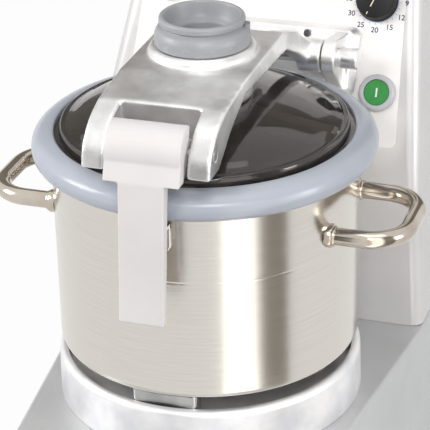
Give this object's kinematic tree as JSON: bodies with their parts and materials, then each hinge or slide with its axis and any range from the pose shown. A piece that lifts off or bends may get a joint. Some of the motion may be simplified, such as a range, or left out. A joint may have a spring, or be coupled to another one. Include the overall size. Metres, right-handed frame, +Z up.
{
  "type": "vertical cutter mixer",
  "caption": "Worktop vertical cutter mixer: motor base, rear control column, steel bowl with handles, and a hinged cast lid arm with smoked lid, wiper, funnel and front latch lever.",
  "frame": {"origin": "on the worktop, at the centre of the machine's footprint", "axes": "+Z up, -Y towards the user at the lid's latch lever, +X to the user's right along the lid's hinge pin"},
  "size_m": [0.404, 0.58, 0.66],
  "materials": {
    "base_paint": "satin light grey enamel on cast aluminium",
    "column_paint": "satin light grey enamel on cast aluminium",
    "panel_white": "smooth satin white",
    "sheet_steel": "zinc plated sheet",
    "screw_steel": "stainless screws",
    "feet_rubber": "matte black rubber",
    "collar_grey": "satin light grey plastic",
    "button_green": "glossy green plastic",
    "button_red": "glossy red plastic",
    "button_black": "glossy black plastic",
    "switch_plastic": "moulded dark plastic",
    "knob_plastic": "satin black plastic",
    "seat_metal": "satin cast and turned aluminium",
    "bowl_steel": "warm brushed stainless steel",
    "handle_steel": "polished stainless rod",
    "blade_steel": "ground hardened steel",
    "arm_metal": "satin cast aluminium with bright edges",
    "bracket_metal": "satin cast aluminium",
    "pin_steel": "polished steel pins",
    "bush_bronze": "sintered bronze bushes",
    "seal_rubber": "satin pale blue-grey food rubber",
    "window_smoked": "clear smoked polycarbonate",
    "clamp_metal": "satin aluminium",
    "lever_plastic": "satin warm light grey plastic",
    "funnel_plastic": "satin mid-grey plastic",
    "wiper_plastic": "satin grey plastic",
    "scraper_rubber": "pale food rubber",
    "motor_iron": "grey cast motor parts",
    "winding_copper": "laminations with varnished copper windings",
    "shaft_steel": "ground steel",
    "fan_plastic": "dark moulded plastic",
    "seal_black": "black nitrile rubber",
    "board_green": "green fibreglass circuit board",
    "standoff_brass": "hexless brass standoffs",
    "sink_aluminium": "extruded aluminium",
    "capacitor_blue": "sleeved aluminium cans",
    "gland_plastic": "dark polyamide"
  },
  "bodies": {
    "machine": {"base_housing": "base_paint", "bottom_plate": "sheet_steel", "feet": "feet_rubber", "foot_screws": "screw_steel", "column_housing": "column_paint", "rear_cover": "column_paint", "cover_screws": "screw_steel", "control_plate": "panel_white", "button_collars": "collar_grey", "switch_blocks": "switch_plastic", "speed_potentiometer": "switch_plastic", "bowl_seat_ring": "seat_metal", "seat_ring_screws": "screw_steel", "shaft_seal": "seal_black", "motor_frame": "motor_iron", "motor_stator": "winding_copper", "motor_upper_bell": "motor_iron", "motor_lower_bell": "motor_iron", "motor_tie_bolts": "screw_steel", "motor_mount_bolts": "screw_steel", "upper_bearing": "shaft_steel", "lower_bearing": "shaft_steel", "bowl": "bowl_steel", "bowl_tube": "bowl_steel", "bowl_feet": "bowl_steel", "bowl_handle_left": "handle_steel", "bowl_handle_right": "handle_steel", "bowl_catch": "bowl_steel", "hinge_bracket": "bracket_metal", "bracket_screws": "screw_steel", "hinge_pin": "pin_steel", "pin_clip": "shaft_steel", "inverter_board": "board_green", "board_standoffs": "standoff_brass", "heat_sink": "sink_aluminium", "capacitors": "capacitor_blue", "cable_gland": "gland_plastic"},
    "lid": {"lid_arm": "arm_metal", "lid_seal": "seal_rubber", "lid_window": "window_smoked", "window_clamp": "clamp_metal", "lever_pin": "pin_steel", "hinge_bushes": "bush_bronze"},
    "latch": {"latch_lever": "lever_plastic", "latch_hook": "handle_steel"},
    "wiper": {"feed_funnel": "funnel_plastic", "wiper_arm": "wiper_plastic", "wiper_scraper": "scraper_rubber"},
    "rotor": {"motor_shaft": "shaft_steel", "motor_rotor": "motor_iron", "cooling_fan": "fan_plastic", "blade_hub": "blade_steel", "lower_blade": "blade_steel", "upper_blade": "blade_steel", "hub_cap": "clamp_metal"},
    "start": {"start_button": "button_green"},
    "stop": {"stop_button": "button_red"},
    "pulse": {"pulse_button": "button_black"},
    "speed": {"speed_knob": "knob_plastic", "knob_spindle": "shaft_steel"}
  },
  "joints": [
    {"name": "lid_hinge", "type": "hinge", "parent": "machine", "child": "lid", "pos_m": [0, 0.092, 0.5033], "axis": [-1, 0, 0], "range_deg": [0, 85]},
    {"name": "latch_hinge", "type": "hinge", "parent": "lid", "child": "latch", "pos_m": [0, -0.2, 0.5263], "axis": [-1, 0, 0], "range_deg": [0, 95]},
    {"name": "wiper_turn", "type": "hinge", "parent": "lid", "child": "wiper", "pos_m": [0, -0.06, 0.5], "axis": [0, 0, 1], "continuous": true},
    {"name": "blade_spin", "type": "hinge", "parent": "machine", "child": "rotor", "pos_m": [0, -0.06, 0.3], "axis": [0, 0, 1], "continuous": true},
    {"name": "speed_knob_turn", "type": "hinge", "parent": "machine", "child": "speed", "pos_m": [0.106, 0.15938, 0.53792], "axis": [0, -0.887, 0.4618], "range_deg": [-135, 135]},
    {"name": "start_press", "type": "slide", "parent": "machine", "child": "start", "axis": [0, 0.887, -0.4618], "range_m": [0, 0.003], "stiffness_N_per_m": 300},
    {"name": "stop_press", "type": "slide", "parent": "machine", "child": "stop", "axis": [0, 0.887, -0.4618], "range_m": [0, 0.003], "stiffness_N_per_m": 300},
    {"name": "pulse_press", "type": "slide", "parent": "machine", "child": "pulse", "axis": [0, 0.887, -0.4618], "range_m": [0, 0.003], "stiffness_N_per_m": 300}
  ]
}
